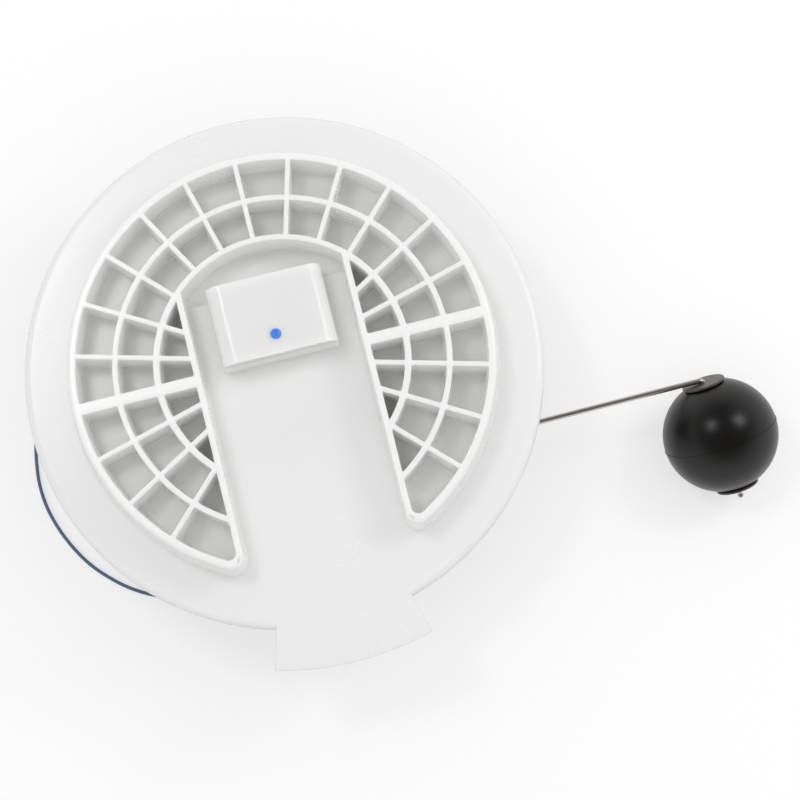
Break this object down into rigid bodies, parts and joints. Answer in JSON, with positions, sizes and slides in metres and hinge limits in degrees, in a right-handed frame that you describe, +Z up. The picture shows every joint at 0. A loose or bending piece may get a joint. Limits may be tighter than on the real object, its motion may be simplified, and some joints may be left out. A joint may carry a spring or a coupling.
{
  "type": "submersible sump pump",
  "caption": "Low submersible pump under a ribbed round deck, with a pilot lamp hood, a thin switch lead and a ball float on a swinging rod.",
  "frame": {"origin": "centre of the flat standing face under the strainer, on the axis of the deck, at the floor", "axes": "+Z up, -Y towards the tab on the deck's rim, +X towards the float ball"},
  "size_m": [0.4462, 0.323, 0.1266],
  "materials": {
    "natural_deck_plastic": "natural milky polypropylene, satin gloss",
    "black_rubber": "matt nitrile rubber",
    "stainless": "bright stainless fastener",
    "circuit_board": "green solder mask",
    "clear_led": "clear epoxy",
    "blue_lens": "glossy transparent blue",
    "black_plastic": "moulded glass-filled plastic, fine grain",
    "cream_plastic": "natural acetal, satin",
    "rotor_steel": "varnished lamination steel",
    "seal_carbon": "carbon, lapped face",
    "seal_ceramic": "ceramic, lapped face",
    "cast_aluminium": "as-cast, machined seats",
    "bearing_steel": "ground steel",
    "copper_winding": "enamelled copper wire",
    "housing_coat": "dark epoxy coat, satin",
    "gland_plastic": "black nylon",
    "lead_jacket": "slate blue PVC",
    "red_plunger": "glossy acetal",
    "float_rod_steel": "drawn stainless wire",
    "float_foam": "moulded black float rubber, satin",
    "dark_washer": "dark oxidised washer"
  },
  "bodies": {
    "pump_unit": {"deck": "natural_deck_plastic", "bay_gasket": "black_rubber", "bay_cover": "natural_deck_plastic", "bay_screws": "stainless", "lamp_board": "circuit_board", "lamp_led": "clear_led", "pilot_lens": "blue_lens", "terminal_block": "black_plastic", "lamp_conduit": "black_plastic", "intake_strainer": "black_plastic", "strainer_screws": "stainless", "volute_casing": "black_plastic", "seal_seat": "seal_ceramic", "seal_plate": "cast_aluminium", "lower_bearing": "bearing_steel", "upper_bearing": "bearing_steel", "stator_core": "rotor_steel", "stator_coils": "copper_winding", "motor_housing": "housing_coat", "volute_o_ring": "black_rubber", "housing_o_ring": "black_rubber", "casing_screws": "stainless", "deck_screws": "stainless", "power_gland": "gland_plastic", "motor_lead_gland": "gland_plastic", "float_lead": "lead_jacket", "switch_lead_gland": "gland_plastic", "switch_case": "black_plastic", "switch_gasket": "black_rubber", "switch_cover": "black_plastic", "switch_cover_screws": "stainless", "switch_case_screws": "stainless", "microswitch": "gland_plastic", "pivot_bushing": "cream_plastic", "pivot_seal": "black_rubber"},
    "rotor": {"motor_shaft": "stainless", "rotor_core": "rotor_steel", "impeller": "cream_plastic", "impeller_screw": "stainless", "seal_rotating_face": "seal_carbon"},
    "float_arm": {"float_rod": "float_rod_steel", "float_ball": "float_foam", "inner_washer": "dark_washer", "outer_washer": "dark_washer", "rod_push_nut": "stainless", "switch_cam": "cream_plastic", "pivot_clip": "stainless"},
    "plunger": {"switch_plunger": "red_plunger"}
  },
  "joints": [
    {"name": "rotor_spin", "type": "hinge", "parent": "pump_unit", "child": "rotor", "pos_m": [0, 0, 0.05], "axis": [0, 0, 1], "continuous": true},
    {"name": "float_swing", "type": "hinge", "parent": "pump_unit", "child": "float_arm", "pos_m": [0.098, -0.032, 0.05069], "axis": [0, -1, 0], "range_deg": [0, 30]},
    {"name": "plunger_slide", "type": "slide", "parent": "pump_unit", "child": "plunger", "axis": [0, 0, 1], "range_m": [0, 0.0012]}
  ],
  "couplings": [
    {"joint": "plunger_slide", "follows": "float_swing", "m_per_rad": 0.00229}
  ]
}
